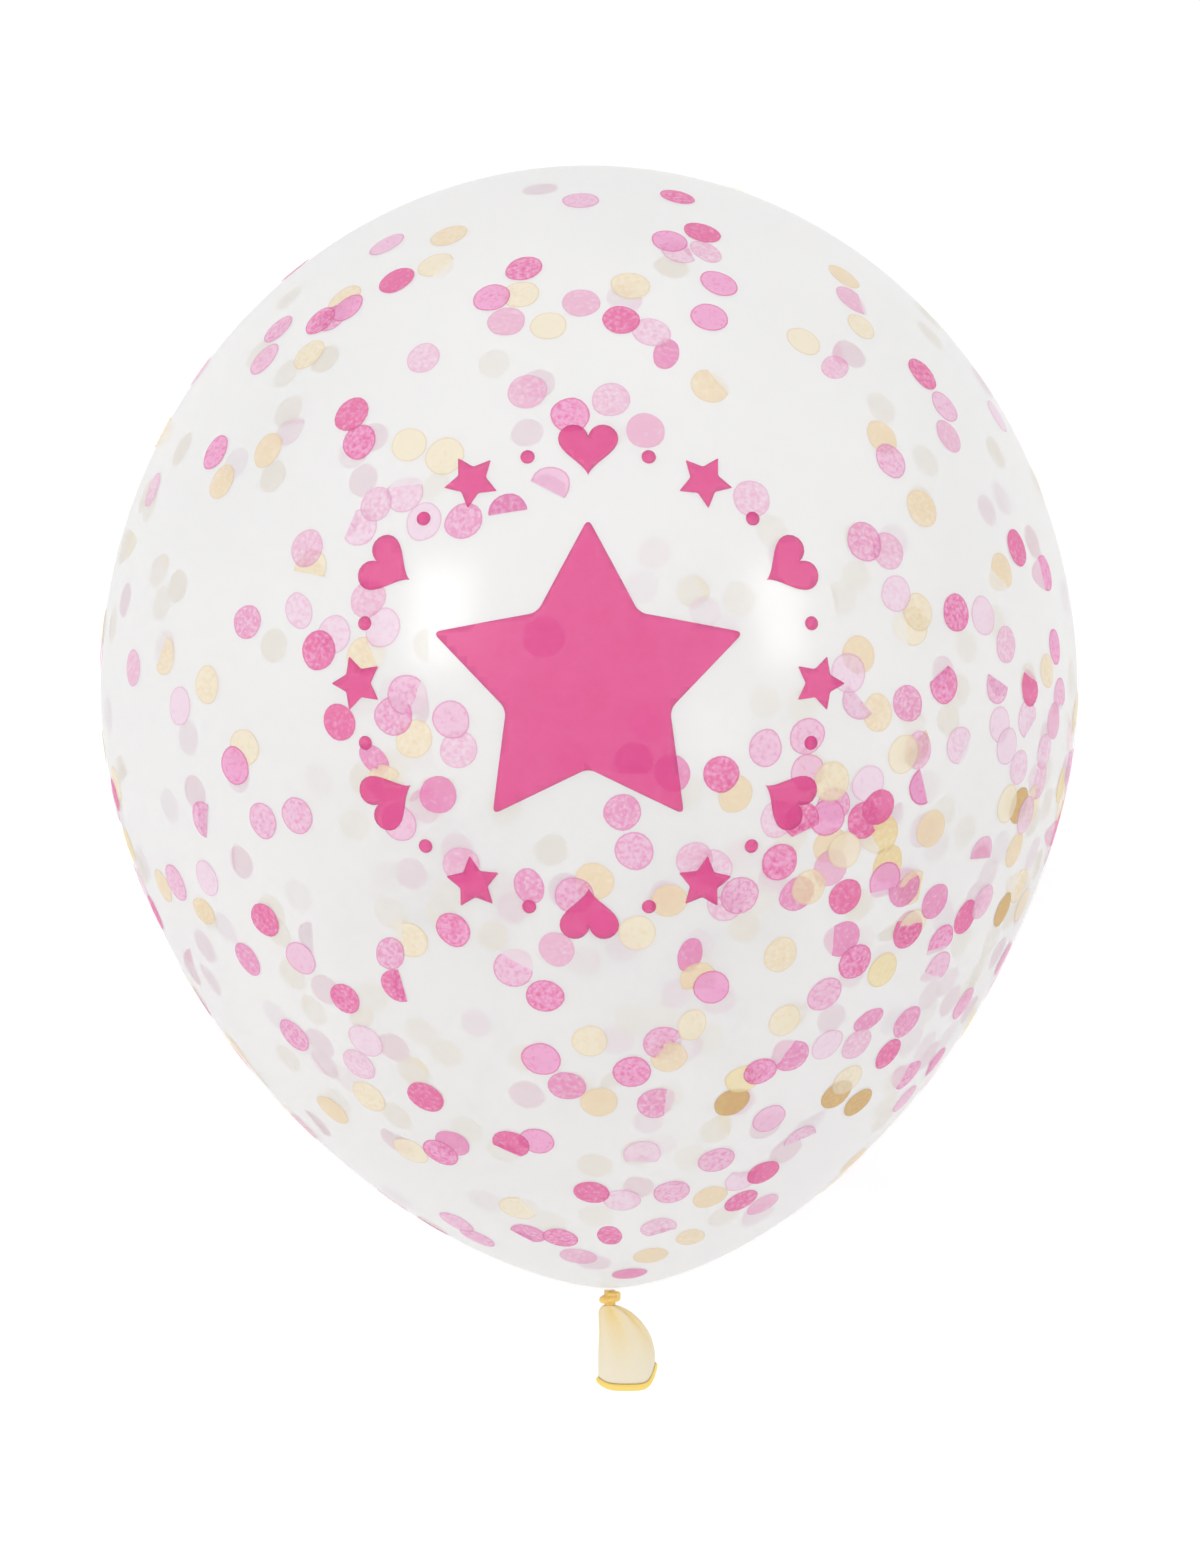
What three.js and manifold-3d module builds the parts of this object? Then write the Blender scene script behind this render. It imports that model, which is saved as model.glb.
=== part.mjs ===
// A twelve-inch party balloon of clear latex, blown up, tied off and lying loose on its back.
// The envelope, the knot and the slack tail with its rolled lip are one moulded piece of latex,
// so they are one solid. Millimetres, +Z up. The origin is the middle of the small flat spot
// that the balloon rests on, +Y runs towards the crown and -Y towards the knot and the tail.
import * as THREE from "three";
import { mergeVertices } from "three/addons/utils/BufferGeometryUtils.js";
import Module from "manifold-3d";

// Inflated envelope: an elliptical crown above the widest ring and a drawn-in taper below it,
// which swings to one side as it nears the neck
const girthRadius = 150;
const crownRise = 161;
const taperDrop = 184;
const taperPower = 1.8;
const taperRoundness = 0.613;
const taperLean = 6.4;
const taperLeanPower = 3.0;
const restSpotRadius = 20;

// Gathered neck, and the turn of rolled latex that is knotted round it
const neckRadius = 1.7;
const neckFillet = 0.4;
const neckBuried = 1.2;
const knotHeight = 4.6;
const knotStrandRadius = 1.05;
const knotBite = 0.45;
const knotTurns = 1.4;
const knotSlant = 0.5;

// Slack tail below the knot: a moulded sleeve, gathered at its top and pressed flat
const tailLength = 25.3;
const tailShoulder = 2.6;
const tailTopHalfWidth = 2.9;
const tailMouthHalfWidth = 8.4;
const tailTopHalfDepth = 1.9;
const tailMouthHalfDepth = 3.1;
const tailSpreadPower = 3.2;
const tailWall = 0.7;
const tailSolidShare = 0.3;
const tailLean = 5.2;
const tailDroop = 3.5;
const pleatCount = 5;
const pleatDepth = 0.22;
const pleatTwist = 0.5;

// Rolled lip round the tail's mouth, which rises a little at both sides and turns up at one
const lipRadius = 1.1;
const mouthRise = 2.1;
const mouthLift = 4.4;

// Facets
const envelopeSides = 72;
const crownSteps = 15;
const taperSteps = 20;
const filletSteps = 3;
const tailSides = 36;
const tailSteps = 12;
const tailCrowding = 1.5;
const lipSteps = 8;
const strandSides = 10;
const strandStepsPerTurn = 22;

const wasm = await Module();
wasm.setup();

// A three.js geometry as an exact solid: shared vertices merged, slivers at the poles dropped
function solidOf(geometry) {
  const bare = geometry.clone();
  bare.deleteAttribute("normal");
  bare.deleteAttribute("uv");
  const merged = mergeVertices(bare, 1e-5);
  const corners = merged.index.array;
  const triVerts = [];
  for (let i = 0; i < corners.length; i += 3) {
    const [a, b, c] = [corners[i], corners[i + 1], corners[i + 2]];
    if (a !== b && b !== c && c !== a) triVerts.push(a, b, c);
  }
  const vertProperties = new Float32Array(merged.attributes.position.array);
  return new wasm.Manifold(
    new wasm.Mesh({ numProp: 3, vertProperties, triVerts: new Uint32Array(triVerts) }),
  );
}

function geometryOf(solid) {
  const mesh = solid.getMesh();
  const geometry = new THREE.BufferGeometry();
  geometry.setAttribute("position", new THREE.BufferAttribute(mesh.vertProperties, 3));
  geometry.setIndex(new THREE.BufferAttribute(mesh.triVerts, 1));
  geometry.computeVertexNormals();
  return geometry;
}

// The envelope's radius at a height above (+) or below (-) the widest ring
function envelopeRadius(height) {
  if (height >= 0) return girthRadius * Math.sqrt(Math.max(0, 1 - (height / crownRise) ** 2));
  const share = Math.min(1, -height / taperDrop);
  return girthRadius * (1 - share ** taperPower) ** taperRoundness;
}

// The height below the widest ring at which the taper has drawn in to a given radius
function taperHeight(radius) {
  const open = (radius / girthRadius) ** (1 / taperRoundness);
  return -taperDrop * (1 - open) ** (1 / taperPower);
}

// A geometry with its lower part swung to the side, the neck and all below it by the whole lean
function swungAside(geometry) {
  const position = geometry.attributes.position;
  for (let i = 0; i < position.count; i++) {
    const share = Math.min(1, Math.max(0, -position.getY(i)) / taperDrop);
    position.setX(i, position.getX(i) + taperLean * share ** taperLeanPower);
  }
  return geometry;
}

const filletTop = taperHeight(neckRadius + neckFillet);
const neckTop = filletTop - neckFillet;
const neckFoot = neckTop - knotHeight;

// The inflated envelope and the gathered neck, as one turned profile that starts inside the tail
function envelopeAndNeck() {
  const buried = neckFoot - neckBuried;
  const outline = [new THREE.Vector2(0, buried), new THREE.Vector2(neckRadius, buried)];
  for (let i = 0; i <= filletSteps; i++) {
    const turn = (i / filletSteps) * (Math.PI / 2);
    const out = neckRadius + neckFillet * (1 - Math.cos(turn));
    outline.push(new THREE.Vector2(out, neckTop + neckFillet * Math.sin(turn)));
  }
  const taperEnd = Math.asin(-filletTop / taperDrop);
  for (let i = 1; i < taperSteps; i++) {
    const height = -taperDrop * Math.sin(taperEnd * (1 - i / taperSteps));
    outline.push(new THREE.Vector2(envelopeRadius(height), height));
  }
  for (let i = 0; i < crownSteps; i++) {
    const rise = (i / crownSteps) * (Math.PI / 2);
    outline.push(new THREE.Vector2(girthRadius * Math.cos(rise), crownRise * Math.sin(rise)));
  }
  outline.push(new THREE.Vector2(0, crownRise));
  return solidOf(swungAside(new THREE.LatheGeometry(outline, envelopeSides)));
}

// The strand of rolled latex that wraps the neck, with both ends buried in it
function knotStrand() {
  const wrapRadius = neckRadius + knotStrandRadius - knotBite;
  const steps = Math.round(strandStepsPerTurn * knotTurns);
  const climb = knotHeight - 2 * (knotStrandRadius + knotSlant);
  const route = [];
  for (let i = 0; i <= steps; i++) {
    const share = i / steps;
    const turn = 2 * Math.PI * knotTurns * share;
    const endTuck = knotStrandRadius * (2 * share - 1) ** 12;
    const slant = knotSlant * (Math.sin(turn) - 1);
    const height = neckTop - knotStrandRadius - climb * share + slant;
    const reach = wrapRadius - endTuck;
    route.push(new THREE.Vector3(reach * Math.sin(turn), height, reach * Math.cos(turn)));
  }
  const section = new THREE.Shape();
  section.absarc(0, 0, knotStrandRadius, 0, 2 * Math.PI);
  const strand = new THREE.ExtrudeGeometry(section, {
    extrudePath: new THREE.CatmullRomCurve3(route),
    steps,
    curveSegments: strandSides,
    bevelEnabled: false,
  });
  return solidOf(swungAside(strand));
}

// A straight moulded sleeve with a rolled lip, closed at its top, before it is pressed flat
function straightSleeve() {
  const halfWall = tailWall / 2;
  const radius = tailMouthHalfWidth;
  const outline = [new THREE.Vector2(0, -tailLength * tailSolidShare)];
  for (let i = 0; i < tailSteps; i++) {
    const share = tailSolidShare + (1 - tailSolidShare) * (i / tailSteps);
    outline.push(new THREE.Vector2(radius - halfWall, -tailLength * share));
  }
  const meets = Math.acos(halfWall / lipRadius);
  for (let i = 0; i <= lipSteps; i++) {
    const turn = Math.PI - meets + (i / lipSteps) * (Math.PI + 2 * meets);
    outline.push(
      new THREE.Vector2(
        radius + lipRadius * Math.cos(turn),
        -tailLength + lipRadius * Math.sin(turn),
      ),
    );
  }
  for (let i = tailSteps - 1; i >= 0; i--) {
    const share = (i / tailSteps) ** tailCrowding;
    outline.push(new THREE.Vector2(radius + halfWall, -tailLength * share));
  }
  outline.push(new THREE.Vector2(0, 0));
  return new THREE.LatheGeometry(outline, tailSides);
}

// The sleeve gathered at the knot, pleated, pressed flat, leaning to one side and drooping
function tail() {
  const sleeve = straightSleeve();
  const position = sleeve.attributes.position;
  for (let i = 0; i < position.count; i++) {
    const [x, y, z] = [position.getX(i), position.getY(i), position.getZ(i)];
    const along = Math.min(1, -y / (tailLength - lipRadius));
    const spread = 1 - (1 - along) ** tailSpreadPower;
    const reach = Math.hypot(x, z);
    const around = Math.atan2(z, x);
    const pleat = 1 + pleatDepth * (1 - spread) * Math.cos(pleatCount * around + pleatTwist);
    const fromWall = reach - tailMouthHalfWidth;
    const onAxis = reach < 1e-6;
    const fullWidth = THREE.MathUtils.lerp(tailTopHalfWidth, tailMouthHalfWidth, spread) * pleat;
    const fullDepth = THREE.MathUtils.lerp(tailTopHalfDepth, tailMouthHalfDepth, along) * pleat;
    const gathered = Math.sqrt(1 - (1 - Math.min(1, -y / tailShoulder)) ** 2);
    const halfWidth = THREE.MathUtils.lerp(neckRadius, fullWidth, gathered);
    const halfDepth = THREE.MathUtils.lerp(neckRadius, fullDepth, gathered);
    const across = onAxis ? 0 : (halfWidth + fromWall) * Math.cos(around);
    const deep = onAxis ? 0 : (halfDepth + fromWall) * Math.sin(around);
    const side = onAxis ? 0 : Math.cos(around);
    const rise = mouthRise * side ** 4 + mouthLift * Math.max(0, side) ** 8;
    const height = neckFoot + y + rise * along ** 2;
    position.setXYZ(i, across + tailLean * spread, height, deep - tailDroop * along ** 2);
  }
  return solidOf(swungAside(sleeve));
}

// Where a loose balloon comes to rest: below its centre of mass, square to the skin there
function restingPlace() {
  const slices = 2000;
  let volume = 0;
  let moment = 0;
  for (let i = 0; i < slices; i++) {
    const height = -taperDrop + ((i + 0.5) / slices) * (crownRise + taperDrop);
    volume += envelopeRadius(height) ** 2;
    moment += height * envelopeRadius(height) ** 2;
  }
  const centre = moment / volume;
  let best = { reach: Infinity };
  for (let i = 0; i < slices; i++) {
    const height = crownRise / 2 - (i / slices) * (crownRise + taperDrop) * 0.75;
    const reach = Math.hypot(height - centre, envelopeRadius(height));
    if (reach < best.reach) best = { reach, height };
  }
  const tilt = Math.atan2(centre - best.height, envelopeRadius(best.height));
  return { centre, tilt, reach: best.reach };
}

// The balloon laid down: neck drooping by the resting tilt, skin pressed flat on the ground
function layDown(solid) {
  const { centre, tilt, reach } = restingPlace();
  const pressed = reach - Math.sqrt(reach ** 2 - restSpotRadius ** 2);
  const laid = solid
    .translate([0, -centre, 0])
    .rotate([THREE.MathUtils.radToDeg(tilt), 0, 0])
    .translate([0, 0, reach - pressed]);
  const groundSize = 3 * girthRadius;
  const ground = new THREE.BoxGeometry(groundSize, groundSize, groundSize);
  return laid.subtract(solidOf(ground.translate(0, 0, -groundSize / 2)));
}

const latex = new THREE.MeshStandardMaterial({
  color: new THREE.Color(0.94, 0.93, 0.9),
  roughness: 0.25,
  metalness: 0,
  transparent: true,
  opacity: 0.35,
});

const wholeBalloon = envelopeAndNeck().add(knotStrand()).add(tail());
const balloon = new THREE.Mesh(geometryOf(layDown(wholeBalloon)), latex);
balloon.name = "balloon";

const part = new THREE.Group();
part.add(balloon);

export default part;
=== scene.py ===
# %% [markdown]
# # A clear party balloon full of confetti
# The real thing is one piece of dipped latex, blown up and tied off with its own neck, with
# hundreds of discs of tissue paper inside. A loose balloon can't stand on its knot, so
# it lies on its back, and the camera looks down on it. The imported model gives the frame: its
# solid fixes the outline, the flat spot it rests on and the droop of its neck.

# %% Load the frame and keep its box
import bisect
import math
import random

import bmesh
import bpy
from mathutils import Matrix, Vector, noise


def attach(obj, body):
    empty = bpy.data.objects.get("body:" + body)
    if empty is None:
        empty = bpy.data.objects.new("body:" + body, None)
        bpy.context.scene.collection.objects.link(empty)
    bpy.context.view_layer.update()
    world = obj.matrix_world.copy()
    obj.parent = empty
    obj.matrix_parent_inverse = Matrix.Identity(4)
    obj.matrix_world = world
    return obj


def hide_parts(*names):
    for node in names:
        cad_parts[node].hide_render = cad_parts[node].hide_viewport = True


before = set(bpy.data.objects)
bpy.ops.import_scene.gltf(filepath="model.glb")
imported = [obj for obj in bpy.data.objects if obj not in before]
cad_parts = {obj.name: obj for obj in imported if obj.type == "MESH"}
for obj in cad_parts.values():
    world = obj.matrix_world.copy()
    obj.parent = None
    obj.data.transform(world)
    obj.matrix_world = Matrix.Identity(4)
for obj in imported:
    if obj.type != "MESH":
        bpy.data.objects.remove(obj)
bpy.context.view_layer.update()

# %% [markdown]
# ## The outline
# A blown-up balloon is round about one axis, so one curve says everything about it: half an
# ellipse above the widest ring, and below it a blunter curve that draws in to the neck. The
# same few numbers made the solid, and every piece here takes its place from them. Towards the
# neck the real one swings a little to one side, so the round shape is swung last of all.

# %% The balloon's sizes, in metres
girth_radius = 0.150
crown_rise = 0.161
taper_drop = 0.184
taper_power = 1.8
taper_roundness = 0.613
taper_lean = 0.0064
taper_lean_power = 3.0
rest_spot_radius = 0.020
neck_radius = 0.0017
neck_fillet = 0.0004
neck_buried = 0.0012
knot_height = 0.0046


def envelope_radius(height):
    """How wide the envelope is at a height above or below its widest ring."""
    if height >= 0:
        return girth_radius * math.sqrt(max(0.0, 1 - (height / crown_rise) ** 2))
    share = min(1.0, -height / taper_drop)
    return girth_radius * (1 - share**taper_power) ** taper_roundness


def taper_height(radius):
    """The height below the widest ring where the taper has drawn in to a radius."""
    opened = (radius / girth_radius) ** (1 / taper_roundness)
    return -taper_drop * (1 - opened) ** (1 / taper_power)


def swung(point):
    """A point of the round balloon, swung aside with the lower part of the real one."""
    share = min(1.0, max(0.0, -point.y) / taper_drop)
    return Vector((point.x + taper_lean * share**taper_lean_power, point.y, point.z))


fillet_top = taper_height(neck_radius + neck_fillet)
neck_top = fillet_top - neck_fillet
neck_foot = neck_top - knot_height
print("neck from", round(neck_top, 5), "to", round(neck_foot, 5))

# %% [markdown]
# ## How it lies
# A loose balloon turns until its centre of mass is as low as it can be, which is where the
# wall is nearest to that centre. The skin there is pressed flat on the ground. Pieces are
# modelled upright, with the crown along +Y and the front along +Z, and then laid down.


# %% Find the resting place
def resting_place(slices=2000):
    """The centre of mass, the tilt and the wall's distance where a loose balloon rests."""
    whole = crown_rise + taper_drop
    heights = [(i + 0.5) / slices * whole - taper_drop for i in range(slices)]
    areas = [envelope_radius(height) ** 2 for height in heights]
    centre = sum(h * a for h, a in zip(heights, areas)) / sum(areas)
    trials = [crown_rise / 2 - i / slices * whole * 0.75 for i in range(slices)]
    nearest = min(trials, key=lambda h: math.hypot(h - centre, envelope_radius(h)))
    reach = math.hypot(nearest - centre, envelope_radius(nearest))
    tilt = math.atan2(centre - nearest, envelope_radius(nearest))
    return centre, tilt, reach


mass_height, resting_tilt, reach = resting_place()
pressed = reach - math.sqrt(reach**2 - rest_spot_radius**2)
laid = (
    Matrix.Translation((0, 0, reach - pressed))
    @ Matrix.Rotation(resting_tilt, 4, "X")
    @ Matrix.Translation((0, -mass_height, 0))
)
print("tilt", round(math.degrees(resting_tilt), 2), "pressed", round(pressed * 1000, 2), "mm")

# %% [markdown]
# ## Places on the wall
# Confetti and print are put on the wall like towns on a globe, by how far round they are and
# by their latitude, seen from the middle of the widest ring. A depth says how far inside the
# outer surface they lie. Where the wall is pressed flat, they are pressed flat with it.

# %% Turn latitudes into places
outline_heights = [-taper_drop + i / 3000 * (taper_drop + crown_rise) for i in range(3001)]
outline_latitudes = [math.atan2(h, envelope_radius(h)) for h in outline_heights]


def height_at(latitude):
    """The height of the wall at a latitude, read from the outline."""
    above = bisect.bisect_left(outline_latitudes, latitude)
    above = min(max(above, 1), len(outline_latitudes) - 1)
    low, high = outline_latitudes[above - 1], outline_latitudes[above]
    share = (latitude - low) / (high - low) if high > low else 0.0
    share = min(max(share, 0.0), 1.0)
    return outline_heights[above - 1] + share * (outline_heights[above] - outline_heights[above - 1])


def upright_place(around, latitude, depth=0.0):
    """A place in the upright balloon's wall, at a depth inside its outer surface."""
    height = height_at(latitude)
    step = 1e-5
    lean = (envelope_radius(height + step) - envelope_radius(height - step)) / (2 * step)
    outward = Vector((1, -lean)).normalized()
    radius = envelope_radius(height) - depth * outward.x
    return Vector((radius * math.sin(around), height - depth * outward.y, radius * math.cos(around)))


def onto_wall(point, depth):
    """A point near the upright wall, moved onto it at a depth, laid down and pressed flat."""
    around = math.atan2(point.x, point.z)
    latitude = math.atan2(point.y, math.hypot(point.x, point.z))
    placed = laid @ swung(upright_place(around, latitude, depth))
    placed.z = max(placed.z, depth)
    return placed


def wall_axes(around, latitude):
    """A place on the upright wall, with the directions that run round it and up it there."""
    middle = upright_place(around, latitude)
    east = Vector((math.cos(around), 0, -math.sin(around)))
    north = upright_place(around, latitude + 0.01) - upright_place(around, latitude - 0.01)
    return middle, east, north.normalized()


print("front of the wall", onto_wall(Vector((0, 0, girth_radius)), 0.0))

# %% [markdown]
# ## Shader maths that reads as Python
# Node trees are easier to follow as sums. A Signal wraps one socket, and adding, taking away
# or multiplying signals adds the Math nodes. A Finish is a material with one method that adds
# any other node, with its settings first and then its sockets.


# %% Signals and finishes
class Signal:
    """One socket of a finish, with Python's operators as Math nodes."""

    def __init__(self, finish, socket):
        self.finish = finish
        self.socket = socket

    def math(self, operation, first, second):
        """Adds a Math node of two values."""
        sockets = {0: first, 1: second}
        return self.finish.node("ShaderNodeMath", {"operation": operation}, sockets)

    def __add__(self, other):
        return self.math("ADD", self, other)

    def __radd__(self, other):
        return self.math("ADD", other, self)

    def __sub__(self, other):
        return self.math("SUBTRACT", self, other)

    def __mul__(self, other):
        return self.math("MULTIPLY", self, other)

    def __rmul__(self, other):
        return self.math("MULTIPLY", other, self)


class Finish:
    """A material, and the one way to add nodes to it."""

    def __init__(self, name, **plain):
        self.material = bpy.data.materials.new(name)
        self.material.use_nodes = True
        self.tree = self.material.node_tree
        self.shader = self.tree.nodes["Principled BSDF"]
        for socket, value in plain.items():
            self.feed(self.shader.inputs[socket.replace("_", " ")], value)

    def feed(self, socket, value):
        """Links a signal to a socket, or sets the socket's own plain value."""
        if isinstance(value, Signal):
            self.tree.links.new(value.socket, socket)
        else:
            socket.default_value = value

    def node(self, kind, settings, sockets, output=0):
        """Adds a node, with its settings and then its sockets, and gives one of its outputs."""
        made = self.tree.nodes.new(kind)
        for name, value in settings.items():
            setattr(made, name, value)
        for name, value in sockets.items():
            self.feed(made.inputs[name], value)
        return Signal(self, made.outputs[output])

    def object_place(self):
        """Where a point lies in its object's own coordinates."""
        return self.node("ShaderNodeTexCoord", {}, {}, "Object")

    def attribute(self, name):
        """A value that was stored on the mesh while it was modelled."""
        return self.node("ShaderNodeAttribute", {"attribute_name": name}, {}, "Fac")

    def noise(self, scale, detail=3.0, roughness=0.5):
        """Noise that stays fixed to the object."""
        sockets = {
            "Vector": self.object_place(),
            "Scale": scale,
            "Detail": detail,
            "Roughness": roughness,
        }
        return self.node("ShaderNodeTexNoise", {}, sockets, 0)

    def band(self, value, low, high):
        """0 below low and 1 above high, with a soft step between."""
        settings = {"interpolation_type": "SMOOTHSTEP"}
        sockets = {"Value": value, "From Min": low, "From Max": high}
        return self.node("ShaderNodeMapRange", settings, sockets, "Result")

    def blend(self, share, one, other):
        """A mix of two colours."""
        sockets = {"Factor": share, 6: one, 7: other}
        return self.node("ShaderNodeMix", {"data_type": "RGBA"}, sockets, 2)

    def bump(self, height, strength, distance):
        """A normal roughened by a height."""
        sockets = {"Strength": strength, "Distance": distance, "Height": height}
        return self.node("ShaderNodeBump", {}, sockets, "Normal")

    def drive(self, **varying):
        """Feeds what varies to the shader, each under its socket's name."""
        for socket, value in varying.items():
            self.feed(self.shader.inputs[socket.replace("_", " ")], value)


def colour(red, green, blue):
    """An opaque colour, in linear light."""
    return (red, green, blue, 1.0)


# %% [markdown]
# ## Putting a piece in the scene
# Every piece is a mesh whose place is in its points, so its object stays at the origin. It
# rides on the one body and wears its finish.


# %% Add a finished piece
def add_piece(name, shape, finish, smooth=True, stands_for_balloon=False):
    """Makes a finished object of a bmesh, riding on the one body."""
    mesh = bpy.data.meshes.new(name)
    for face in shape.faces:
        face.smooth = smooth
    shape.to_mesh(mesh)
    shape.free()
    mesh.materials.append(finish.material)
    piece = bpy.data.objects.new(name, mesh)
    bpy.context.scene.collection.objects.link(piece)
    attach(piece, "root")
    if stands_for_balloon:
        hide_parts("balloon")
    triangles = sum(len(face.vertices) - 2 for face in mesh.polygons)
    print(name, "has", triangles, "triangles")
    return piece


def lay_down(shape):
    """Swings the lower part of an upright shape aside, and lays the whole shape down."""
    for vertex in shape.verts:
        vertex.co = laid @ swung(vertex.co)


def chain(shape, outline):
    """An open chain of edges through (radius, height) points, ready to be spun."""
    points = [shape.verts.new((radius, height, 0)) for radius, height in outline]
    for one, other in zip(points, points[1:]):
        shape.edges.new((one, other))


def spin_round(shape, sides):
    """Turns the chain once round the balloon's own axis, and closes its seam and poles."""
    bmesh.ops.spin(
        shape,
        geom=shape.verts[:] + shape.edges[:],
        cent=(0, 0, 0),
        axis=(0, 1, 0),
        angle=2 * math.pi,
        steps=sides,
        use_merge=True,
    )
    bmesh.ops.remove_doubles(shape, verts=shape.verts, dist=1e-6)
    bmesh.ops.recalc_face_normals(shape, faces=shape.faces)


# %% [markdown]
# ## The latex film
# Blown latex is clear but slightly milky. The milkiness hardly shows on what touches the film
# and veils what is further off, so near confetti looks crisp and far confetti faint. A single
# see-through surface can't do both. So the wall gets two faces, as a real film has: a glossy,
# nearly clear outer one, and a milky inner one. The confetti clings between them, which is
# less than a millimetre from where it really is, and it looks right from every side.

# %% Model the two faces of the film
film_sides = 160
crown_steps = 60
taper_steps = 80
fillet_steps = 5
wall_depth = 0.0005
inner_end_radius = 0.004


def film_outline(depth):
    """The film's outline from the crown's pole to the neck, at a depth inside the wall."""
    outline = []
    for i in range(crown_steps + 1):
        latitude = math.pi / 2 * (1 - i / crown_steps)
        place = upright_place(0, latitude, depth)
        outline.append((max(place.z, 0.0), place.y))
    lowest = math.atan2(fillet_top, neck_radius + neck_fillet)
    for i in range(1, taper_steps + 1):
        place = upright_place(0, lowest * i / taper_steps, depth)
        outline.append((max(place.z, 0.0), place.y))
    outline[0] = (0.0, outline[0][1])
    return outline


def press_flat(shape, depth):
    """Presses a laid shape flat where it meets the ground."""
    for vertex in shape.verts:
        vertex.co.z = max(vertex.co.z, depth)


outer_outline = film_outline(0.0)
for i in range(1, fillet_steps + 1):
    turn = math.pi / 2 * (1 - i / fillet_steps)
    across = neck_radius + neck_fillet * (1 - math.cos(turn))
    outer_outline.append((across, neck_top + neck_fillet * math.sin(turn)))
outer_outline.append((neck_radius, neck_foot - neck_buried))
outer_outline.append((0.0, neck_foot - neck_buried))

outer_film = bmesh.new()
chain(outer_film, outer_outline)
spin_round(outer_film, film_sides)
lay_down(outer_film)
press_flat(outer_film, 0.0)

inner_outline = [
    (radius, height)
    for radius, height in film_outline(wall_depth)
    if radius > inner_end_radius or height > 0
]
inner_outline.append((0.0, inner_outline[-1][1]))

inner_film = bmesh.new()
chain(inner_film, inner_outline)
spin_round(inner_film, film_sides)
lay_down(inner_film)
press_flat(inner_film, wall_depth)
print("faces of the film", len(outer_film.faces), "and", len(inner_film.faces))

# %% [markdown]
# The outer face carries the gloss. Its alpha is low and plain, so the exported model keeps it,
# and a high index makes up for the share of the shine that a low alpha takes away. The inner
# face is the milk: white, matt and half see-through, a little cloudy as dipped latex is. The
# real film scatters light onwards and hardly dims what is inside, so neither casts a shadow.

# %% Finish the film
glossy_film = Finish(
    "clear_latex_gloss",
    Alpha=0.15,
    IOR=1.9,
    Specular_IOR_Level=0.9,
    Coat_Weight=0.8,
    Coat_Roughness=0.18,
)
film_cloud = glossy_film.noise(30.0, 0.0)
glossy_film.drive(
    Base_Color=glossy_film.blend(film_cloud, colour(0.52, 0.52, 0.51), colour(0.62, 0.62, 0.61)),
    Roughness=0.17 + 0.06 * film_cloud,
)

milky_film = Finish("clear_latex_milk", Alpha=0.47, Specular_IOR_Level=0.0)
milk_cloud = milky_film.noise(18.0, 0.0)
milky_film.drive(
    Base_Color=milky_film.blend(milk_cloud, colour(0.765, 0.765, 0.765), colour(0.825, 0.825, 0.82)),
    Roughness=0.55 + 0.2 * milk_cloud,
)

gloss = add_piece("latex_film", outer_film, glossy_film, stands_for_balloon=True)
milk = add_piece("latex_inner_face", inner_film, milky_film, stands_for_balloon=True)
for face in (gloss, milk):
    face.visible_shadow = False

# %% [markdown]
# ## The neck and the knot
# Where the neck is gathered, the latex is hardly stretched, so it is thick and amber. The knot
# is the neck's own rolled tail, wound once and a bit round it and tucked in. A curve with a
# round section makes the strand, and small ridges along it are the creases of the rolled skin.

# %% Model the knot's strand
knot_strand_radius = 0.00105
knot_bite = 0.00045
knot_turns = 1.4
knot_slant = 0.0005
strand_steps = 150
neck_cover = 1.02
ridge_height = 0.00010
ridges_across, ridges_along = 900, 2600


def strand_point(share):
    """A point on the middle line of the knotted strand."""
    turn = 2 * math.pi * knot_turns * share
    tuck = knot_strand_radius * (2 * share - 1) ** 12
    out = neck_radius + knot_strand_radius - knot_bite - tuck
    climb = knot_height - 2 * (knot_strand_radius + knot_slant)
    slant = knot_slant * (math.sin(turn) - 1)
    height = neck_top - knot_strand_radius - climb * share + slant
    return Vector((out * math.sin(turn), height, out * math.cos(turn)))


strand_path = bpy.data.curves.new("strand_path", "CURVE")
strand_path.dimensions = "3D"
strand_path.bevel_depth = knot_strand_radius
strand_path.bevel_resolution = 6
strand_path.use_fill_caps = True
spline = strand_path.splines.new("POLY")
spline.points.add(strand_steps)
for i, point in enumerate(spline.points):
    point.co = (*strand_point(i / strand_steps), 1.0)
strand_guide = bpy.data.objects.new("strand_guide", strand_path)
strand_mesh = strand_guide.to_mesh()
knot = bmesh.new()
knot.from_mesh(strand_mesh)
strand_guide.to_mesh_clear()
bpy.data.objects.remove(strand_guide)
bpy.data.curves.remove(strand_path)
bmesh.ops.remove_doubles(knot, verts=knot.verts, dist=1e-6)

bmesh.ops.create_cone(
    knot,
    cap_ends=True,
    segments=48,
    radius1=neck_radius * neck_cover,
    radius2=neck_radius * neck_cover,
    depth=knot_height + neck_buried,
    matrix=Matrix.Translation((0, (neck_top + neck_foot - neck_buried) / 2, 0))
    @ Matrix.Rotation(math.pi / 2, 4, "X"),
)
bmesh.ops.recalc_face_normals(knot, faces=knot.faces)
knot_crease_shade = knot.verts.layers.float.new("gather_and_crease_shade")
for vertex in knot.verts:
    x, y, z = vertex.co
    ridge = noise.noise(Vector((x * ridges_across, y * ridges_along, z * ridges_across)))
    vertex.co += vertex.normal * ridge_height * ridge
    # The dips between the ridges are marked for a darker colour, which is painted shade.
    vertex[knot_crease_shade] = min(max(0.5 - ridge, 0.0), 1.0)
lay_down(knot)
print("faces of the knot", len(knot.faces))

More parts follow.
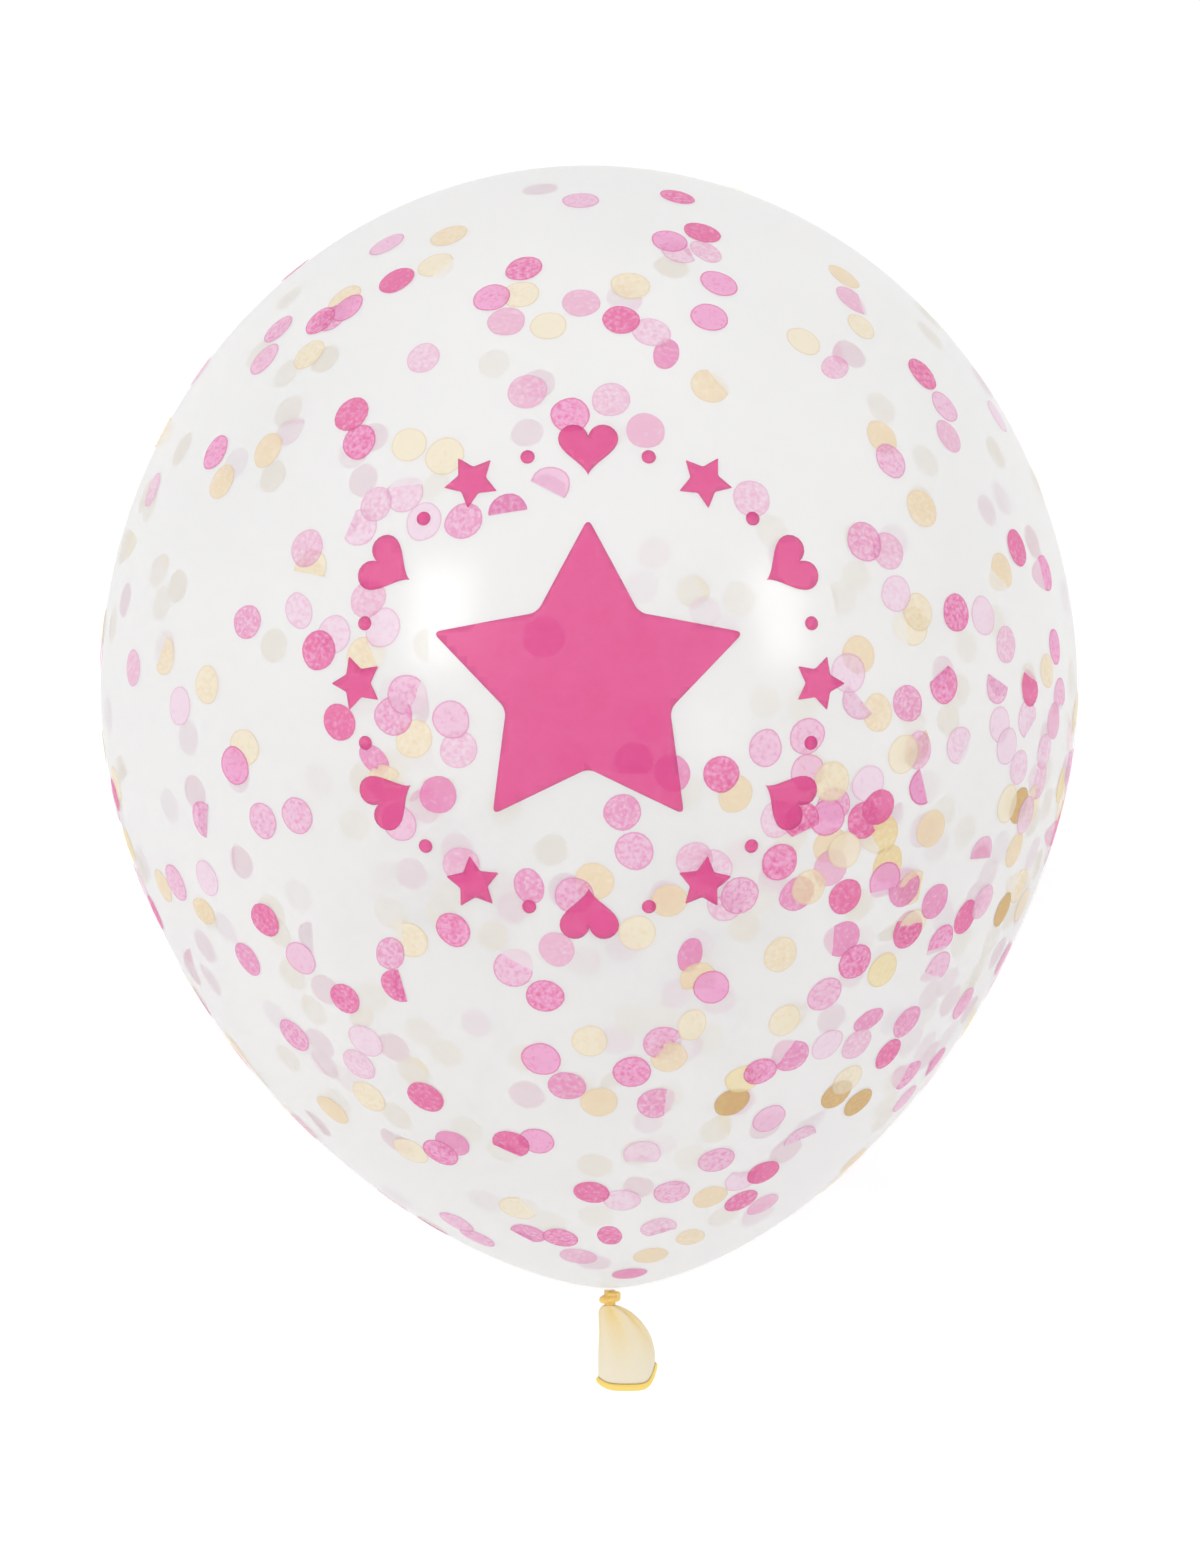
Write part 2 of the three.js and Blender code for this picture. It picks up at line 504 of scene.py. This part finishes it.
# %% [markdown]
# The slack tail is the moulded mouth of the balloon: a sleeve with a rolled lip, gathered into
# pleats under the knot, pressed flat, leaning to one side and drooping. It is spun as a
# straight sleeve first, because that keeps the wall and the lip even, and then bent.

# %% Model the slack tail
tail_length = 0.0253
tail_shoulder = 0.0026
tail_top_half_width = 0.0029
tail_mouth_half_width = 0.0084
tail_top_half_depth = 0.0019
tail_mouth_half_depth = 0.0031
tail_spread_power = 3.2
tail_wall = 0.0007
tail_solid_share = 0.3
tail_lean = 0.0052
tail_droop = 0.0035
pleat_count = 5
pleat_depth = 0.22
pleat_twist = 0.5
fine_pleat_depth = 0.045
lip_radius = 0.0011
mouth_rise = 0.0021
mouth_lift = 0.0044
tail_sides = 144
tail_steps = 48
tail_crowding = 1.5
lip_steps = 18

half_wall = tail_wall / 2
sleeve_outline = [(0.0, -tail_length * tail_solid_share)]
for i in range(tail_steps):
    share = tail_solid_share + (1 - tail_solid_share) * i / tail_steps
    sleeve_outline.append((tail_mouth_half_width - half_wall, -tail_length * share))
meets = math.acos(half_wall / lip_radius)
for i in range(lip_steps + 1):
    turn = math.pi - meets + i / lip_steps * (math.pi + 2 * meets)
    out = tail_mouth_half_width + lip_radius * math.cos(turn)
    sleeve_outline.append((out, -tail_length + lip_radius * math.sin(turn)))
for i in range(tail_steps - 1, -1, -1):
    share = (i / tail_steps) ** tail_crowding
    sleeve_outline.append((tail_mouth_half_width + half_wall, -tail_length * share))
sleeve_outline.append((0.0, 0.0))

tail = bmesh.new()
chain(tail, sleeve_outline)
spin_round(tail, tail_sides)
lip_layer = tail.verts.layers.float.new("lip")
gather_and_crease_shade_layer = tail.verts.layers.float.new("gather_and_crease_shade")


def mix(one, other, share):
    """One value at share 0, the other at share 1."""
    return one + (other - one) * share


def bend_tail(vertex):
    """Gathers, pleats, flattens, leans and droops one point of the straight sleeve."""
    x, y, z = vertex.co
    along = min(1.0, -y / (tail_length - lip_radius))
    spread = 1 - (1 - along) ** tail_spread_power
    radius = math.hypot(x, z)
    around = math.atan2(z, x)
    wave = math.cos(pleat_count * around + pleat_twist)
    fine = math.cos(17 * around + 5 * along) * 0.35 + math.cos(11 * around - 2.0) * 0.3
    pleat = 1 + pleat_depth * (1 - spread) * wave + fine_pleat_depth * (1 - along) ** 0.5 * fine
    from_wall = radius - tail_mouth_half_width
    full_width = mix(tail_top_half_width, tail_mouth_half_width, spread) * pleat
    full_depth = mix(tail_top_half_depth, tail_mouth_half_depth, along) * pleat
    shoulder = min(max(-y / tail_shoulder, 0.0), 1.0)
    gathered = math.sqrt(1 - (1 - shoulder) ** 2)
    half_width = mix(neck_radius, full_width, gathered)
    half_depth = mix(neck_radius, full_depth, gathered)
    on_axis = radius < 1e-6
    across = 0.0 if on_axis else (half_width + from_wall) * math.cos(around)
    deep = 0.0 if on_axis else (half_depth + from_wall) * math.sin(around)
    side = 0.0 if on_axis else math.cos(around)
    rise = mouth_rise * side**4 + mouth_lift * max(0.0, side) ** 8
    height = neck_foot + y + rise * along**2
    vertex[lip_layer] = 1.0 if y < -tail_length + lip_radius * 0.9 else 0.0
    # The gathered top is thick latex and gets the golden colour; the extra weight in the pleat valleys
    # is painted shade.
    valley = 0.5 - 0.5 * wave
    vertex[gather_and_crease_shade_layer] = min(1.0, (1 - along) ** 1.5 * (0.35 + 0.65 * valley) + 0.15 * (1 - along))
    vertex.co = (across + tail_lean * spread, height, deep - tail_droop * along**2)


for vertex in tail.verts:
    bend_tail(vertex)
lay_down(tail)
print("tail ends at", round(min(vertex.co.y for vertex in tail.verts), 4))

# %% [markdown]
# Slack latex is creamy where it is thin, golden where it is gathered thick under the knot and amber
# where it is rolled, because each layer adds to the colour. The pleat valleys of the tail and the dips
# between the knot's ridges are also painted darker, and that is painted shade. Attributes that were set
# while bending say where.

# %% Finish the knot and the tail
slack_latex = Finish("slack_latex", Specular_IOR_Level=0.45, Subsurface_Weight=0.25)
slack_latex.shader.inputs["Subsurface Radius"].default_value = (1.0, 0.7, 0.35)
slack_latex.shader.inputs["Subsurface Scale"].default_value = 0.0012
slack_grain = slack_latex.noise(420.0, 4.0)
slack_gather_and_crease_shade = slack_latex.attribute("gather_and_crease_shade") * (0.75 + 0.5 * slack_grain)
# Golden towards the knot, where the latex is gathered thick, and in the pleat valleys, where it is
# painted shade.
slack_body = slack_latex.blend(slack_gather_and_crease_shade, colour(0.72, 0.66, 0.53), colour(0.74, 0.57, 0.25))
slack_latex.drive(
    Base_Color=slack_latex.blend(slack_latex.attribute("lip"), slack_body, colour(0.81, 0.60, 0.15)),
    Roughness=0.34 + 0.14 * slack_grain,
    Normal=slack_latex.bump(slack_latex.noise(900.0, 3.0), 0.25, 0.0003),
)

knotted_latex = Finish("knotted_latex", Specular_IOR_Level=0.5, Subsurface_Weight=0.2)
knotted_latex.shader.inputs["Subsurface Radius"].default_value = (1.0, 0.6, 0.2)
knotted_latex.shader.inputs["Subsurface Scale"].default_value = 0.001
knot_grain = knotted_latex.noise(700.0, 3.0)
# The knot is amber from its rolled latex; the darker amber in the dips between its ridges is painted
# shade.
knotted_latex.drive(
    Base_Color=knotted_latex.blend(
        knotted_latex.attribute("gather_and_crease_shade"), colour(0.86, 0.61, 0.19), colour(0.71, 0.43, 0.09)
    ),
    Roughness=0.30 + 0.16 * knot_grain,
    Normal=knotted_latex.bump(knot_grain, 0.3, 0.0003),
)

add_piece("knot", knot, knotted_latex, stands_for_balloon=True)
add_piece("tail", tail, slack_latex, stands_for_balloon=True)

# %% [markdown]
# ## The printed decoration
# A plain festive print stands on the front: a big star in a ring of little hearts, stars and
# dots. Ink is only colour, so it is a film a few hundredths of a millimetre thick. Each motif
# is drawn flat, cut into small tiles so that it can bend, and wrapped onto the wall.

# %% Draw the motifs
ink_lift = 0.00003
ink_thickness = 0.00002
tile = 0.003
tile_offset = 0.00037


def star_outline(radius, inner_share=0.52, points=5):
    """The corners of a star, tip and hollow by turns."""
    corners = []
    for i in range(2 * points):
        reach_here = radius if i % 2 == 0 else radius * inner_share
        angle = math.pi / 2 + math.pi * i / points
        corners.append((reach_here * math.cos(angle), reach_here * math.sin(angle)))
    return corners


def heart_outline(radius, steps=40):
    """Points on a heart curve, about as wide as twice the radius."""
    corners = []
    for i in range(steps):
        turn = 2 * math.pi * i / steps
        up = 13 * math.cos(turn) - 5 * math.cos(2 * turn) - 2 * math.cos(3 * turn) - math.cos(4 * turn)
        corners.append((-radius * math.sin(turn) ** 3, radius * (up / 16 + 0.12)))
    return corners


def dot_outline(radius, steps=20):
    """Points on a circle."""
    angles = [2 * math.pi * i / steps for i in range(steps)]
    return [(radius * math.cos(angle), radius * math.sin(angle)) for angle in angles]


def draw_motif(shape, corners, across, up, turn=0.0, rounding=0.0):
    """Adds one flat motif to the print, with its corners rounded as ink flows."""
    motif = bmesh.new()
    ring = [motif.verts.new((x, y, 0)) for x, y in corners]
    motif.faces.new(ring)
    if rounding:
        bmesh.ops.bevel(
            motif,
            geom=motif.verts[:],
            offset=rounding,
            offset_type="OFFSET",
            affect="VERTICES",
            segments=5,
            profile=0.5,
            material=-1,
        )
    spot = Matrix.Translation((across, up, 0)) @ Matrix.Rotation(turn, 4, "Z")
    bmesh.ops.transform(motif, matrix=spot, verts=motif.verts)
    flat = bpy.data.meshes.new("flat_motif")
    motif.to_mesh(flat)
    motif.free()
    shape.from_mesh(flat)
    bpy.data.meshes.remove(flat)


star_radius = 0.047
star_rounding = 0.0022
ring_radius = 0.068
ring_count = 12
heart_radius = 0.0088
small_star_radius = 0.0084
small_star_rounding = 0.0005
dot_radius = 0.0021

ink = bmesh.new()
draw_motif(ink, star_outline(star_radius), 0, 0, rounding=star_rounding)
for i in range(ring_count):
    angle = math.pi / 2 + 2 * math.pi * i / ring_count
    across, up = ring_radius * math.cos(angle), ring_radius * math.sin(angle)
    turn = angle - math.pi / 2
    if i % 2 == 0:
        draw_motif(ink, heart_outline(heart_radius), across, up, turn)
    else:
        draw_motif(ink, star_outline(small_star_radius), across, up, turn, small_star_rounding)
    between = angle + math.pi / ring_count
    across, up = ring_radius * math.cos(between), ring_radius * math.sin(between)
    draw_motif(ink, dot_outline(dot_radius), across, up)
print("motifs", 1 + 2 * ring_count)

# %% Wrap the print onto the wall
print_reach = ring_radius + 0.012
cuts = int(2 * print_reach / tile)
for i in range(cuts + 1):
    offset = (i - cuts / 2) * tile
    for normal in ((1, 0, 0), (0, 1, 0)):
        bmesh.ops.bisect_plane(
            ink,
            geom=ink.verts[:] + ink.edges[:] + ink.faces[:],
            plane_co=(offset + tile_offset, offset + tile_offset, 0),
            plane_no=normal,
        )
bmesh.ops.solidify(ink, geom=ink.faces[:], thickness=ink_thickness)


def wrap(point):
    """Rolls a flat drawing onto the wall, with lengths from its middle kept."""
    away = math.hypot(point.x, point.y)
    if away < 1e-7:
        return Vector((0, 0, girth_radius))
    bend = away / girth_radius
    aside = math.sin(bend) * girth_radius / away
    return Vector((point.x * aside, point.y * aside, math.cos(bend) * girth_radius))


for vertex in ink.verts:
    lift = ink_lift + vertex.co.z
    vertex.co = onto_wall(wrap(vertex.co), -lift)
bmesh.ops.recalc_face_normals(ink, faces=ink.faces)

printed_ink = Finish("printed_ink", Alpha=0.66, Specular_IOR_Level=0.5)
ink_grain = printed_ink.noise(260.0, 3.0, 0.6)
printed_ink.drive(
    Base_Color=printed_ink.blend(ink_grain, colour(0.71, 0.050, 0.250), colour(0.76, 0.078, 0.298)),
    Roughness=0.32 + 0.16 * ink_grain,
    Normal=printed_ink.bump(ink_grain, 0.08, 0.0002),
)
add_piece("star_print", ink, printed_ink)

# %% [markdown]
# ## Tissue confetti
# The discs are punched tissue, about 11 mm across. Most lie flat against the wall, some are
# folded, curled or crumpled. Hundreds of them only need about a hundred faces each, so a few
# patterns are made once, as thin closed sheets, and stamped onto the wall again and again.

# %% Make the patterns of the discs
disc_radius = 0.0057
disc_sides = 18
rim_shares = (0.11, 0.42)
sheet_thickness = 0.00003
edge_wander, edge_scale = 0.07, 190
curl_line = 0.1
crumple_scale, sideways_scale = 260, 300
fold_gap = 0.00008
paper_dice = random.Random(7)


def disc_pattern(fold_at=None, curl=0.0, crumple=0.0, squeeze=1.0, cut=0.0):
    """One tissue disc in the plane, folded over a line, curled up at one side or crumpled.

    Squeezing narrows it, and each cut gives its punched edge another slight wander.
    """
    disc = bmesh.new()
    bmesh.ops.create_circle(disc, cap_ends=True, segments=disc_sides, radius=disc_radius)
    for share in rim_shares:
        middle = max(disc.faces, key=lambda face: len(face.verts))
        bmesh.ops.inset_region(
            disc,
            faces=[middle],
            thickness=disc_radius * share,
            use_boundary=True,
            use_even_offset=True,
        )
    bmesh.ops.poke(disc, faces=[max(disc.faces, key=lambda face: len(face.verts))])
    edge_layer = disc.verts.layers.float.new("edge")
    for vertex in disc.verts:
        x, y, _ = vertex.co
        vertex[edge_layer] = 1.0 if vertex.co.length > disc_radius * 0.95 else 0.0
        vertex.co *= 1 + edge_wander * noise.noise(Vector((x * edge_scale, y * edge_scale, cut)))
    if fold_at is not None:
        line = (0, fold_at * disc_radius, 0)
        parts = disc.verts[:] + disc.edges[:] + disc.faces[:]
        bmesh.ops.bisect_plane(disc, geom=parts, dist=1e-6, plane_co=line, plane_no=(0, 1, 0))
    for vertex in disc.verts:
        x, y, z = vertex.co
        lifted = max(0.0, y - curl_line * disc_radius) / disc_radius
        z -= curl * lifted**2
        if crumple:
            bumps = noise.noise(Vector((x * crumple_scale, y * crumple_scale, crumple * 1e5)))
            z = min(0.0, z + crumple * (bumps - 0.5))
            sideways = noise.noise(Vector((y * sideways_scale, x * sideways_scale, 3.0)))
            x += 0.5 * crumple * sideways
        if fold_at is not None and y < fold_at * disc_radius - 1e-6:
            y = 2 * fold_at * disc_radius - y
            z -= fold_gap
        vertex.co = (x * squeeze, y, z)
    bmesh.ops.solidify(disc, geom=disc.faces[:], thickness=sheet_thickness)
    pattern = bpy.data.meshes.new("disc_pattern")
    disc.to_mesh(pattern)
    disc.free()
    return pattern


patterns = {
    "flat": [disc_pattern(squeeze=1.0 - 0.02 * i, cut=1.7 * i) for i in range(5)],
    "curled": [disc_pattern(curl=0.0016), disc_pattern(curl=0.0030)],
    "folded": [disc_pattern(fold_at=0.0), disc_pattern(fold_at=-0.25), disc_pattern(fold_at=-0.6)],
    "crumpled": [disc_pattern(crumple=0.0002, squeeze=0.78), disc_pattern(crumple=0.0003, squeeze=0.66)],
}
shares = [("flat", 0.72), ("curled", 0.13), ("folded", 0.11), ("crumpled", 0.04)]
print("patterns", {kind: len(made) for kind, made in patterns.items()})

# %% [markdown]
# ## Where the discs cling
# Static leaves confetti in drifts. The front of the wall is given one by one, each disc as
# degrees round the balloon and degrees of latitude, one line of places for each tint. The
# sides and the back are scattered by seeded dice around a few drifts, so every run is alike.

# %% Lay out the front
front_layout = {
    "hot_pink": (
        "25,67 -34,50 -11,51 16,56 24,58 22,49 -15,46 5,43 18,43 -45,44 -41,46 53,37 -31,31 "
        "-29,27 -2,30 -54,27 -31,4 -28,-4 -44,-9 15,-10 25,-15 28,-15 23,-20 35,-14 33,-15 44,-28 "
        "52,-30 37,-32 56,-27 43,0 60,0 16,-35 -45,-27 -36,-37 -17,-28 -26,-35 -29,-50 -8,-44 "
        "6,-46 27,-46 52,-44 -32,-58 -16,-56 -11,-56 38,-61 -2,-64 37,-66 -14,-72 2,-72 41,-11 "
        "61,16 46,8 38,-22 33,-24 -6,-36 68,13"
    ),
    "rose": (
        "-2,65 -44,57 -43,44 -55,43 -53,39 11,38 55,33 -14,18 -9,19 -4,22 -41,7 40,25 33,16 38,-2 "
        "-20,-1 -22,-4 -15,-4 -24,-8 -51,-15 -41,-15 -35,-15 -17,-12 -22,-15 5,-9 9,-10 20,-7 "
        "25,-6 25,-10 4,-14 5,-19 -2,-24 18,-24 13,-31 29,-13 42,-23 48,-25 33,-36 43,-40 52,-40 "
        "68,-38 54,-33 -41,-32 -52,-32 -50,-42 -26,-31 -63,-23 10,-42 -4,-48 32,-53 31,-44 63,-48 "
        "72,-46 -28,-56 24,-59 17,-64 -49,-70 -49,-73 -24,-71 13,-81 -10,-33 -7,-23 10,-50 34,-29 "
        "53,0 70,-1 26,-24"
    ),
    "light_pink": (
        "17,54 22,54 -1,45 9,41 -12,43 -23,38 48,47 36,37 -8,33 3,32 7,28 -69,23 -25,20 -22,21 "
        "-27,17 -34,15 -34,8 -25,9 -23,6 -29,5 19,20 52,29 72,32 36,15 37,10 51,8 30,1 31,-2 "
        "-64,2 -53,-2 12,-20 15,-21 22,-15 46,-7 59,-25 -54,-22 -35,-42 -39,-45 5,-65 17,-70 "
        "33,-62 9,-58 46,-67 -11,-76 56,-7 66,-7 60,-4 59,-9 66,-11 68,-4 54,-4 33,-11 30,-21 "
        "43,-43 64,-15 17,-25 42,-56 37,-43 40,-7 -15,-20 -14,-7 55,-19 -4,-30 -5,5 -19,18 55,5"
    ),
    "cream": (
        "-29,58 -28,52 7,48 -11,47 -6,42 -43,47 -43,39 32,40 51,51 45,43 16,34 -43,27 -50,23 "
        "-22,27 -17,25 39,28 43,20 56,13 40,8 39,6 -48,0 -56,3 -25,3 -19,-6 -42,-7 -23,-11 17,-12 "
        "1,-22 10,-24 6,-28 29,-18 27,-23 39,-7 -23,-29 -68,-23 -41,-50 0,-42 "
        "11,-44 14,-40 1,-50 45,-48 -40,-58 -22,-67 27,-65 30,-72 19,-76 38,-8 31,3 63,-19 "
        "58,-13 28,-11 25,-31 -33,13 -58,-26 -53,-52 69,-23 31,-19 43,-23 45,-28 14,-34 28,-39 "
        "44,-16 65,2 65,-13 34,-3"
    ),
    "honey": (
        "36,-17 42,-33 24,-47 38,-20"
    ),
    # A darker cream, for a few discs at the lower right.
    "deep_cream": (
        "23,-50 44,-50 52,-51 61,-14 66,-26"
    ),
}

places = []
for tint, line in front_layout.items():
    for pair in line.split():
        around, latitude = (float(number) for number in pair.split(","))
        nudge = (paper_dice.uniform(-0.4, 0.4), paper_dice.uniform(-0.4, 0.4))
        places.append((tint, around + nudge[0], latitude + nudge[1]))
print("front discs", len(places))

# %% Scatter the sides and the back
# A drift is its middle round the balloon, its latitude, its spread in degrees and its discs.
drifts = [
    (84, -10, 9, 20),
    (95, -38, 13, 26),
    (-86, -20, 12, 18),
    (-95, -50, 14, 18),
    (128, -30, 16, 34),
    (165, -48, 16, 32),
    (-160, -15, 14, 22),
    (-130, -42, 16, 28),
    (150, 8, 16, 20),
    (-120, 25, 18, 12),
    (105, 40, 16, 8),
    (180, 50, 20, 7),
    (170, -74, 30, 16),
]
flattening = 0.8
stray = 3
scattered = 110
clear_angle = 2.6
front_left, front_right, front_low = -76, 64, -80
lowest_latitude, highest_latitude = -84, 86
tints = ["hot_pink", "rose", "light_pink", "cream", "honey", "blush"]
tint_weights = [0.14, 0.14, 0.15, 0.33, 0.14, 0.10]


def apart(around, latitude, other):
    """The angle between two places on the wall, in degrees."""
    a, b = math.radians(latitude), math.radians(other[2])
    turn = math.radians(around - other[1])
    cosine = math.sin(a) * math.sin(b) + math.cos(a) * math.cos(b) * math.cos(turn)
    return math.degrees(math.acos(min(1.0, max(-1.0, cosine))))


def settle(around, latitude):
    """Adds a disc of a random tint, off the front and not nearly on top of another."""
    around = (around + 180) % 360 - 180
    on_front = front_left < around < front_right and latitude > front_low
    if on_front or not lowest_latitude < latitude < highest_latitude:
        return
    if any(apart(around, latitude, other) < clear_angle for other in places):
        return
    places.append((paper_dice.choices(tints, tint_weights)[0], around, latitude))


for around, latitude, spread, count in drifts:
    for _ in range(count):
        along = paper_dice.gauss(latitude, spread * flattening)
        narrowing = max(0.3, math.cos(math.radians(along)))
        settle(paper_dice.gauss(around, spread) + paper_dice.gauss(0, stray) / narrowing, along)
for _ in range(scattered):
    latitude = math.degrees(math.asin(paper_dice.triangular(-0.98, 0.96, -0.7)))
    settle(paper_dice.uniform(78, 282), latitude)
print("all discs", len(places))

# %% [markdown]
# Where discs overlap, they lie on one another, so each takes the first free level under the
# film. Each also gets its own turn, pattern and shade.

# %% Stamp the discs onto the wall
top_level = 0.0001
level_step = 0.00005
levels = 8
overlap_angle = 5.0


def free_level(index):
    """The first level that no overlapping disc has taken yet."""
    _, around, latitude = places[index]
    near = [i for i in range(index) if apart(around, latitude, places[i]) < overlap_angle]
    taken = {disc_levels[i] for i in near}
    return next((level for level in range(levels) if level not in taken), index % levels)


disc_levels = []
for index in range(len(places)):
    disc_levels.append(free_level(index))
print("levels in use", max(disc_levels) + 1)


def stamp(group, shade_layer, place, level):
    """Adds one disc to the group of its tint, on the wall and at its level."""
    _, around, latitude = place
    kind = paper_dice.choices([name for name, _ in shares], [share for _, share in shares])[0]
    pattern = paper_dice.choice(patterns[kind])
    spin = paper_dice.uniform(0, 2 * math.pi)
    size = paper_dice.gauss(1.0, 0.025)
    shade = paper_dice.random()
    middle, east, north = wall_axes(math.radians(around), math.radians(latitude))
    before = len(group.verts)
    group.from_mesh(pattern)
    group.verts.ensure_lookup_table()
    for vertex in group.verts[before:]:
        x, y, z = vertex.co
        turned_x = size * (x * math.cos(spin) - y * math.sin(spin))
        turned_y = size * (x * math.sin(spin) + y * math.cos(spin))
        depth = top_level + level * level_step - z
        vertex.co = onto_wall(middle + east * turned_x + north * turned_y, depth)
        vertex[shade_layer] = shade


groups = {}
for place, level in zip(places, disc_levels):
    tint = place[0]
    if tint not in groups:
        group = bmesh.new()
        group.verts.layers.float.new("edge")
        groups[tint] = (group, group.verts.layers.float.new("shade"))
    stamp(*groups[tint], place, level)
print("stamped", {tint: len(group.faces) for tint, (group, _) in groups.items()})

# %% [markdown]
# Tissue is thin enough that two layers look deeper than one, so it is partly see-through. Its
# fibres make it mottled, and the punched rim is a touch darker.


# %% Finish the confetti
def tissue(name, deep, pale, alpha):
    """Tissue between a deep and a pale tint, by its disc's shade and by its fibres."""
    finish = Finish(name, Alpha=alpha, Specular_IOR_Level=0.15)
    fibres = finish.noise(760.0, 1.0, 0.6)
    shade = finish.attribute("shade")
    mottled = shade * 1.05 + (fibres - 0.5) * 1.7
    rim = finish.attribute("edge") * (0.5 + 0.8 * fibres)
    paper = finish.blend(finish.band(mottled, 0.0, 1.0), colour(*deep), colour(*pale))
    rimmed = finish.blend(rim, paper, colour(*(0.9 * share for share in deep)))
    finish.drive(
        Base_Color=rimmed,
        Roughness=0.78 + 0.16 * fibres,
    )
    return finish


tissues = {
    "hot_pink": tissue("hot_pink_tissue", (0.82, 0.018, 0.31), (0.90, 0.36, 0.66), 0.57),
    "rose": tissue("rose_tissue", (0.83, 0.15, 0.47), (0.89, 0.53, 0.73), 0.47),
    "light_pink": tissue("light_pink_tissue", (0.86, 0.36, 0.59), (0.91, 0.69, 0.83), 0.40),
    "cream": tissue("cream_tissue", (0.89, 0.69, 0.40), (0.93, 0.83, 0.61), 0.41),
    "honey": tissue("honey_tissue", (0.87, 0.66, 0.27), (0.92, 0.79, 0.44), 0.50),
    # The deep cream discs are a darker cream than the cream ones.
    "deep_cream": tissue("deep_cream_tissue", (0.65, 0.37, 0.05), (0.76, 0.48, 0.09), 0.58),
    "blush": tissue("blush_tissue", (0.93, 0.62, 0.70), (0.95, 0.77, 0.80), 0.34),
}
for tint, (group, _) in groups.items():
    add_piece("confetti_" + tint, group, tissues[tint], smooth=False)

# %% [markdown]
# ## Floor, light and camera
# A pale floor, a white room and two tall softboxes, whose reflections are the soft white glows
# on the shoulders of the balloon, with a wide weak light low on the left. The camera looks down
# square to the balloon's own axis, so the crown is at the top of the picture, and a long lens
# keeps the outline undistorted.

# %% Set the floor
floor_shape = bmesh.new()
bmesh.ops.create_grid(floor_shape, x_segments=2, y_segments=2, size=4.0)
floor_mesh = bpy.data.meshes.new("floor")
floor_shape.to_mesh(floor_mesh)
floor_shape.free()
floor = bpy.data.objects.new("floor", floor_mesh)
bpy.context.scene.collection.objects.link(floor)
floor_finish = Finish("pale_floor", Roughness=0.9, Specular_IOR_Level=0.1)
floor_finish.drive(
    Base_Color=floor_finish.blend(
        floor_finish.noise(4.0), colour(0.965, 0.965, 0.965), colour(0.98, 0.98, 0.98)
    )
)
floor_mesh.materials.append(floor_finish.material)
print("floor at", floor.location.z)

# %% Set the camera
girth_pixels = 980
frame_width, frame_height = 1200, 1557
ring_across, ring_down = 589, 690
camera_distance = 1.8

ring_centre = laid @ Vector((0, 0, 0))
turned = laid.to_3x3()
axis_up = turned @ Vector((0, 1, 0))
backward = turned @ Vector((0, 0, 1))
image_right = Vector((1, 0, 0))
metres_per_pixel = 2 * girth_radius / girth_pixels
aim = ring_centre + image_right * (frame_width / 2 - ring_across) * metres_per_pixel
aim -= axis_up * (frame_height / 2 - ring_down) * metres_per_pixel

camera_data = bpy.data.cameras.new("camera")
edge_slope = girth_radius / math.sqrt(camera_distance**2 - girth_radius**2)
focal_pixels = girth_pixels / 2 / edge_slope
camera_data.lens = focal_pixels * camera_data.sensor_width / frame_height
camera_data.clip_start = 0.1
camera_data.clip_end = 30
camera = bpy.data.objects.new("camera", camera_data)
bpy.context.scene.collection.objects.link(camera)
camera.matrix_world = Matrix.Translation(aim + backward * camera_distance) @ Matrix(
    (image_right, axis_up, backward)
).transposed().to_4x4()
bpy.context.scene.camera = camera
print("lens", round(camera_data.lens, 1), "mm")

# %% Set the lights
room_strength = 1.005
softbox_distance = 1.5


def softbox(name, aside, above, width, height, power):
    """A soft light seen from the balloon at an angle aside and above the camera."""
    aside, above = math.radians(aside), math.radians(above)
    toward = (
        image_right * math.sin(aside) * math.cos(above)
        + axis_up * math.sin(above)
        + backward * math.cos(aside) * math.cos(above)
    )
    data = bpy.data.lights.new(name, "AREA")
    data.shape = "RECTANGLE"
    data.size = width
    data.size_y = height
    data.energy = power
    lamp = bpy.data.objects.new(name, data)
    bpy.context.scene.collection.objects.link(lamp)
    upward = (axis_up - toward * axis_up.dot(toward)).normalized()
    lamp.matrix_world = Matrix.Translation(ring_centre + toward * softbox_distance) @ Matrix(
        (upward.cross(toward), upward, toward)
    ).transposed().to_4x4()


softbox("left_softbox", -33, 13, 0.36, 0.50, 3.6)
softbox("right_softbox", 43, 13, 0.28, 0.46, 2.4)
softbox("low_fill", -40, -38, 1.6, 1.2, 1.6)

room = bpy.data.worlds.new("white_room")
room.use_nodes = True
room.node_tree.nodes["Background"].inputs["Color"].default_value = (1, 1, 1, 1)
room.node_tree.nodes["Background"].inputs["Strength"].default_value = room_strength
bpy.context.scene.world = room
bpy.context.scene.view_settings.view_transform = "Standard"
bpy.context.scene.cycles.transparent_max_bounces = 40
print("room at", room_strength)
